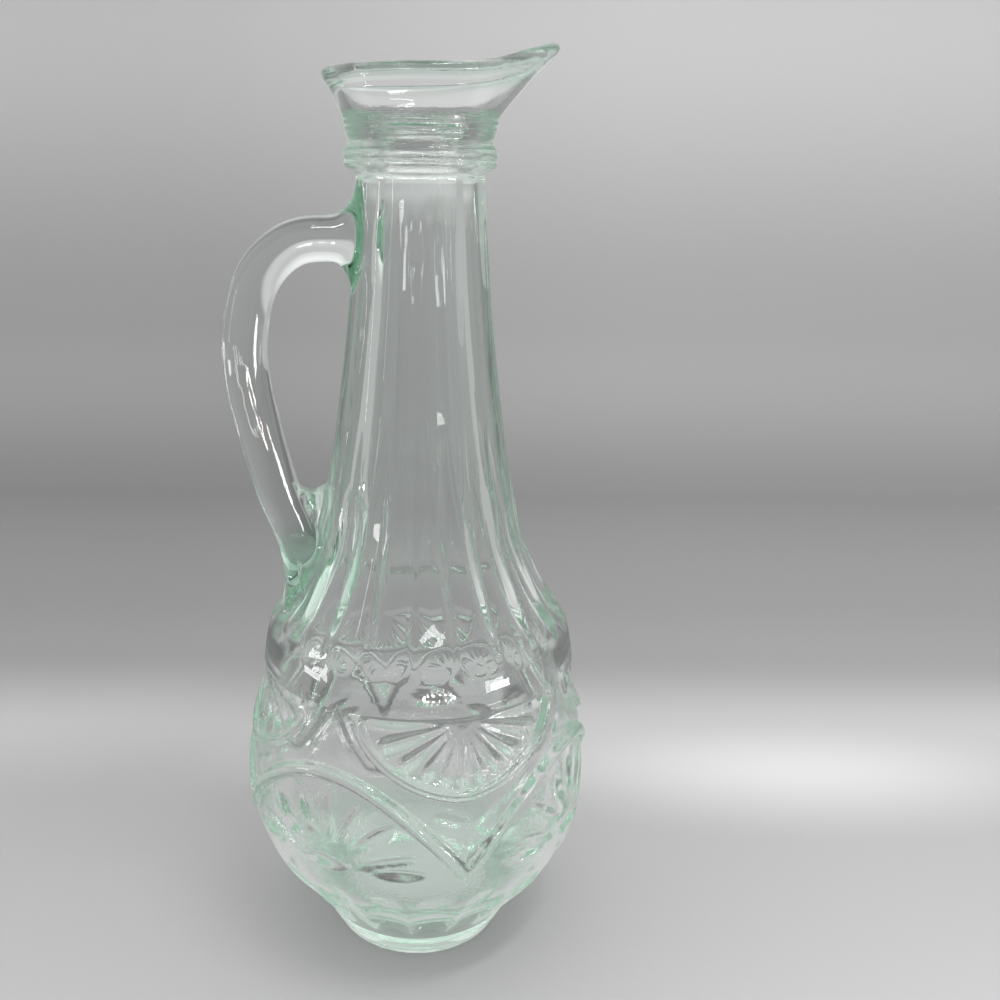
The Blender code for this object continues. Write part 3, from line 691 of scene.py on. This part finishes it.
glass_look = bpy.data.materials.new("clear_green_glass")
glass_look.use_nodes = True
nodes = glass_look.node_tree.nodes
links = glass_look.node_tree.links
shader = nodes["Principled BSDF"]
shader.inputs["Base Color"].default_value = WHITE
shader.inputs["Transmission Weight"].default_value = 1.0
shader.inputs["IOR"].default_value = GLASS_IOR
shader.inputs["Roughness"].default_value = 0.0

places = nodes.new("ShaderNodeTexCoord")
waves = nodes.new("ShaderNodeTexNoise")
waves.inputs["Scale"].default_value = WAVE_SCALE
waves.inputs["Detail"].default_value = 1.0
links.new(places.outputs["Object"], waves.inputs["Vector"])
wavy = nodes.new("ShaderNodeBump")
wavy.inputs["Strength"].default_value = 1.0
wavy.inputs["Distance"].default_value = WAVE_RISE
links.new(waves.outputs["Fac"], wavy.inputs["Height"])
split = nodes.new("ShaderNodeSeparateXYZ")
links.new(places.outputs["Object"], split.inputs["Vector"])
stretch = nodes.new("ShaderNodeMapping")
stretch.inputs["Scale"].default_value = LEVEL_RING_STRETCH
links.new(places.outputs["Object"], stretch.inputs["Vector"])
rings = nodes.new("ShaderNodeTexNoise")
rings.inputs["Scale"].default_value = 1.0
rings.inputs["Detail"].default_value = FINE_DETAIL
links.new(stretch.outputs["Vector"], rings.inputs["Vector"])
sand = nodes.new("ShaderNodeTexNoise")
sand.inputs["Scale"].default_value = SAND_SCALE
sand.inputs["Detail"].default_value = FINE_DETAIL
links.new(places.outputs["Object"], sand.inputs["Vector"])


def band_mask(bands):
    """A mask over the height of the cruet, from (height, strength) places."""
    share = nodes.new("ShaderNodeMapRange")
    share.inputs["From Max"].default_value = MASK_TOP
    links.new(split.outputs["Z"], share.inputs["Value"])
    mask = nodes.new("ShaderNodeValToRGB")
    links.new(share.outputs["Result"], mask.inputs["Fac"])
    stops = mask.color_ramp.elements
    stops.remove(stops[-1])
    for number, (height, strength) in enumerate(bands):
        stop = stops[0] if number == 0 else stops.new(height / MASK_TOP)
        stop.position = height / MASK_TOP
        stop.color = (strength, strength, strength, 1.0)
    return mask.outputs["Color"]


ringed = nodes.new("ShaderNodeBump")
ringed.inputs["Distance"].default_value = LEVEL_RING_RISE
links.new(band_mask(LEVEL_RING_BANDS), ringed.inputs["Strength"])
links.new(rings.outputs["Fac"], ringed.inputs["Height"])
links.new(wavy.outputs["Normal"], ringed.inputs["Normal"])
sandy = nodes.new("ShaderNodeBump")
sandy.inputs["Distance"].default_value = SAND_RISE
links.new(band_mask(SAND_BANDS), sandy.inputs["Strength"])
links.new(sand.outputs["Fac"], sandy.inputs["Height"])
links.new(ringed.outputs["Normal"], sandy.inputs["Normal"])
links.new(sandy.outputs["Normal"], shader.inputs["Normal"])

reach = nodes.new("ShaderNodeMapping")
reach.vector_type = "TEXTURE"
reach.inputs["Location"].default_value = TAIL_PLACE
reach.inputs["Scale"].default_value = TAIL_REACH
links.new(places.outputs["Object"], reach.inputs["Vector"])
far = nodes.new("ShaderNodeVectorMath")
far.operation = "LENGTH"
links.new(reach.outputs["Vector"], far.inputs[0])
tail_mask = nodes.new("ShaderNodeMapRange")
tail_mask.interpolation_type = "SMOOTHSTEP"
tail_mask.inputs["From Min"].default_value = 1.0
tail_mask.inputs["From Max"].default_value = TAIL_CORE
links.new(far.outputs["Value"], tail_mask.inputs["Value"])
deep = nodes.new("ShaderNodeMath")
deep.operation = "MAXIMUM"
links.new(tail_mask.outputs["Result"], deep.inputs[0])
links.new(band_mask(DEEP_BANDS), deep.inputs[1])
deep_tint = nodes.new("ShaderNodeValToRGB")
deep_tint.color_ramp.elements[0].color = WHITE
deep_tint.color_ramp.elements[1].color = DEEP_COLOUR
links.new(deep.outputs["Value"], deep_tint.inputs["Fac"])
links.new(deep_tint.outputs["Color"], shader.inputs["Base Color"])

absorption = nodes.new("ShaderNodeVolumeAbsorption")
absorption.inputs["Color"].default_value = GLASS_COLOUR
absorption.inputs["Density"].default_value = GLASS_DENSITY
links.new(absorption.outputs["Volume"], nodes["Material Output"].inputs["Volume"])

body.data.materials.clear()
body.data.materials.append(glass_look)
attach(body, "root")
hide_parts("foot", "bulb", "fluted_shoulder", "neck", "ribbed_collar", "pouring_lip", "handle")

# A pale sheet of paper makes the floor and curves up far behind the cruet, square to the camera. The light
# and shade of a room with soft light are painted into its tone: lightest round the cruet, darker behind it
# and lighter again up the wall.
PAPER_HALF_WIDTH = 0.60
PAPER_FRONT = -0.90
PAPER_BEND_START = 0.42
PAPER_BEND_RADIUS = 0.10
PAPER_TOP = 0.38
PAPER_STEPS = 24
# Painted light and shade: tones at places along the sheet, measured back from the cruet and then up the
# wall
PAPER_TONES = (
    (-0.60, 0.48), (-0.10, 0.55), (0.05, 0.47), (0.10, 0.54), (0.17, 0.335), (0.24, 0.310), (0.45, 0.285),
    (0.64, 0.44), (0.83, 0.63),
)
# As it glows in the glass: painted light under the foot, where the glass gathers light, and a painted
# shadow in front of it
GLASS_TONES = (
    (-0.60, 0.12), (-0.10, 0.10), (-0.062, 0.14), (-0.046, 0.17), (-0.036, 0.45), (-0.018, 0.58),
    (0.021, 0.57), (0.030, 0.46), (0.070, 0.47), (0.100, 0.43), (0.125, 0.40), (0.15, 0.23), (0.17, 0.17),
    (0.23, 0.18), (0.27, 0.26), (0.45, 0.26), (0.56, 0.29), (0.68, 0.31), (0.72, 0.60), (0.76, 0.62),
    (0.83, 0.56),
)
PAPER_ROUGHNESS = 0.9
# Painted light from the right: it grows lighter from left to right over this reach on either side of the
# cruet
PAPER_SIDE_REACH = 0.15
PAPER_RIGHT_GAIN = 1.14
# A long soft patch of light lies across it to the right, squeezed along its length when it is measured
PATCH_SQUEEZE = (0.33, 1.0, 1.0)
PATCH_PLACE = (0.046, 0.070, 0.0)
PATCH_RADIUS = 0.042
PATCH_GAIN = 0.46

paper_shape = bmesh.new()
outline = [(PAPER_FRONT, 0.0)]
for step in range(PAPER_STEPS + 1):
    turn = math.pi / 2 * step / PAPER_STEPS
    back = PAPER_BEND_START + PAPER_BEND_RADIUS * math.sin(turn)
    outline.append((back, PAPER_BEND_RADIUS * (1 - math.cos(turn))))
outline.append((outline[-1][0], PAPER_TOP))
left = [paper_shape.verts.new((-PAPER_HALF_WIDTH, back, up)) for back, up in outline]
edges = [paper_shape.edges.new(pair) for pair in zip(left, left[1:])]
sheet = bmesh.ops.extrude_edge_only(paper_shape, edges=edges)
right = [item for item in sheet["geom"] if isinstance(item, bmesh.types.BMVert)]
bmesh.ops.translate(paper_shape, vec=(2 * PAPER_HALF_WIDTH, 0, 0), verts=right)
square_on = Matrix.Rotation(CAMERA_TURN, 3, "Z")
bmesh.ops.rotate(paper_shape, cent=(0, 0, 0), matrix=square_on, verts=paper_shape.verts)
for face in paper_shape.faces:
    face.smooth = True
paper = put_in_scene("paper_sweep", paper_shape)

paper_look = bpy.data.materials.new("grey_paper")
paper_look.use_nodes = True
nodes = paper_look.node_tree.nodes
links = paper_look.node_tree.links
shader = nodes["Principled BSDF"]
shader.inputs["Roughness"].default_value = PAPER_ROUGHNESS
places = nodes.new("ShaderNodeTexCoord")
turned = nodes.new("ShaderNodeMapping")
turned.inputs["Rotation"].default_value = (0.0, 0.0, -CAMERA_TURN)
links.new(places.outputs["Object"], turned.inputs["Vector"])
split = nodes.new("ShaderNodeSeparateXYZ")
links.new(turned.outputs["Vector"], split.inputs["Vector"])
along = nodes.new("ShaderNodeMath")
links.new(split.outputs["Y"], along.inputs[0])
links.new(split.outputs["Z"], along.inputs[1])
first_place, last_place = PAPER_TONES[0][0], PAPER_TONES[-1][0]
measure = nodes.new("ShaderNodeMapRange")
measure.inputs["From Min"].default_value = first_place
measure.inputs["From Max"].default_value = last_place
links.new(along.outputs["Value"], measure.inputs["Value"])
rightward = nodes.new("ShaderNodeMapRange")
rightward.inputs["From Min"].default_value = -PAPER_SIDE_REACH
rightward.inputs["From Max"].default_value = PAPER_SIDE_REACH
rightward.inputs["To Min"].default_value = 1.0
rightward.inputs["To Max"].default_value = PAPER_RIGHT_GAIN
links.new(split.outputs["X"], rightward.inputs["Value"])
squeeze = nodes.new("ShaderNodeMapping")
squeeze.inputs["Scale"].default_value = PATCH_SQUEEZE
links.new(turned.outputs["Vector"], squeeze.inputs["Vector"])
away = nodes.new("ShaderNodeVectorMath")
away.operation = "DISTANCE"
away.inputs[1].default_value = PATCH_PLACE
links.new(squeeze.outputs["Vector"], away.inputs[0])
patch = nodes.new("ShaderNodeMapRange")
patch.interpolation_type = "SMOOTHSTEP"
patch.inputs["From Max"].default_value = PATCH_RADIUS
patch.inputs["To Min"].default_value = PATCH_GAIN
patch.inputs["To Max"].default_value = 0.0
links.new(away.outputs["Value"], patch.inputs["Value"])
gain = nodes.new("ShaderNodeMath")
links.new(rightward.outputs["Result"], gain.inputs[0])
links.new(patch.outputs["Result"], gain.inputs[1])


def toned(table):
    """The tone of the paper everywhere, from a table of (place, tone)."""
    ramp = nodes.new("ShaderNodeValToRGB")
    ramp.color_ramp.interpolation = "EASE"
    links.new(measure.outputs["Result"], ramp.inputs["Fac"])
    marks = ramp.color_ramp.elements
    marks.remove(marks[-1])
    for number, (place, tone) in enumerate(table):
        share = (place - first_place) / (last_place - first_place)
        mark = marks[0] if number == 0 else marks.new(share)
        mark.position = share
        mark.color = (tone, tone, tone, 1.0)
    scaled = nodes.new("ShaderNodeVectorMath")
    scaled.operation = "SCALE"
    links.new(ramp.outputs["Color"], scaled.inputs[0])
    links.new(gain.outputs["Value"], scaled.inputs["Scale"])
    return scaled.outputs["Vector"]


links.new(toned(PAPER_TONES), shader.inputs["Base Color"])
# Seen through the glass and in reflections the paper glows with these painted tones, while camera rays see
# it lit
glow = nodes.new("ShaderNodeEmission")
links.new(toned(GLASS_TONES), glow.inputs["Color"])
path = nodes.new("ShaderNodeLightPath")
through = nodes.new("ShaderNodeMath")
through.operation = "MAXIMUM"
links.new(path.outputs["Is Transmission Ray"], through.inputs[0])
links.new(path.outputs["Is Glossy Ray"], through.inputs[1])
choose = nodes.new("ShaderNodeMixShader")
links.new(through.outputs["Value"], choose.inputs["Fac"])
links.new(shader.outputs["BSDF"], choose.inputs[1])
links.new(glow.outputs["Emission"], choose.inputs[2])
links.new(choose.outputs["Shader"], nodes["Material Output"].inputs["Surface"])
paper.data.materials.append(paper_look)

# Soft light comes from all round, most from above. Two low soft boxes give the belt its bright patches, and
# a thin one beside the handle and a long one overhead draw fine lines in the glass.
# The room is dimmest near the floor and brightest overhead: how steeply a place lies, and its brightness
ROOM_LOW = (0.1, 0.48)
ROOM_HIGH = (0.65, 1.0)

world = bpy.data.worlds.new("room")
world.use_nodes = True
bpy.context.scene.world = world
nodes = world.node_tree.nodes
links = world.node_tree.links
places = nodes.new("ShaderNodeTexCoord")
split = nodes.new("ShaderNodeSeparateXYZ")
links.new(places.outputs["Generated"], split.inputs["Vector"])
rise = nodes.new("ShaderNodeMapRange")
rise.inputs["From Min"].default_value = ROOM_LOW[0]
rise.inputs["From Max"].default_value = ROOM_HIGH[0]
rise.inputs["To Min"].default_value = ROOM_LOW[1]
rise.inputs["To Max"].default_value = ROOM_HIGH[1]
links.new(split.outputs["Z"], rise.inputs["Value"])
nodes["Background"].inputs["Color"].default_value = WHITE
links.new(rise.outputs["Result"], nodes["Background"].inputs["Strength"])

# Soft boxes: place, width, height, power. They face the middle of the cruet
BOX_AIM = Vector((0, 0, 0.12))
SOFT_BOXES = (
    ((-0.60, 0.03, 0.045), 0.16, 0.06, 0.30),
    ((0.42, -0.46, 0.050), 0.16, 0.06, 0.7),
    ((-0.55, 0.02, 0.24), 0.02, 0.20, 0.08),
    ((0.14, -0.30, 0.80), 0.30, 0.05, 1.0),
)
for number, (place, width, height, power) in enumerate(SOFT_BOXES):
    box_data = bpy.data.lights.new("soft_box_%d" % number, "AREA")
    box_data.shape = "RECTANGLE"
    box_data.size, box_data.size_y = width, height
    box_data.energy = power
    box = bpy.data.objects.new("soft_box_%d" % number, box_data)
    bpy.context.collection.objects.link(box)
    box.location = place
    box.rotation_euler = (BOX_AIM - Vector(place)).to_track_quat("-Z", "Y").to_euler()

# A low ring of small lamps stands in front, and shows as an oval of dots in the belt
RING_LAMPS = 16
RING_LAMP_SIZE = 0.006
RING_LAMP_POWER = 0.15
LAMP_RING_RADII = (0.09, 0.025)
LAMP_RING_CENTRE = Vector((-0.01, -0.50, 0.050))
for number in range(RING_LAMPS):
    turn = math.tau * number / RING_LAMPS
    ring_data = bpy.data.lights.new("ring_lamp_%d" % number, "POINT")
    ring_data.energy = RING_LAMP_POWER
    ring_data.shadow_soft_size = RING_LAMP_SIZE
    ring_lamp = bpy.data.objects.new("ring_lamp_%d" % number, ring_data)
    bpy.context.collection.objects.link(ring_lamp)
    out, up = math.cos(turn) * LAMP_RING_RADII[0], math.sin(turn) * LAMP_RING_RADII[1]
    ring_lamp.location = LAMP_RING_CENTRE + Vector((out, 0, up))

# Light is followed through the many walls of glass that stand one behind the other
GLASS_BOUNCES = 32
GLOSS_BOUNCES = 24
CLEAR_BOUNCES = 16

scene = bpy.context.scene
scene.view_settings.view_transform = "Standard"
scene.cycles.max_bounces = GLASS_BOUNCES
scene.cycles.glossy_bounces = GLOSS_BOUNCES
scene.cycles.transmission_bounces = GLASS_BOUNCES
scene.cycles.transparent_max_bounces = CLEAR_BOUNCES
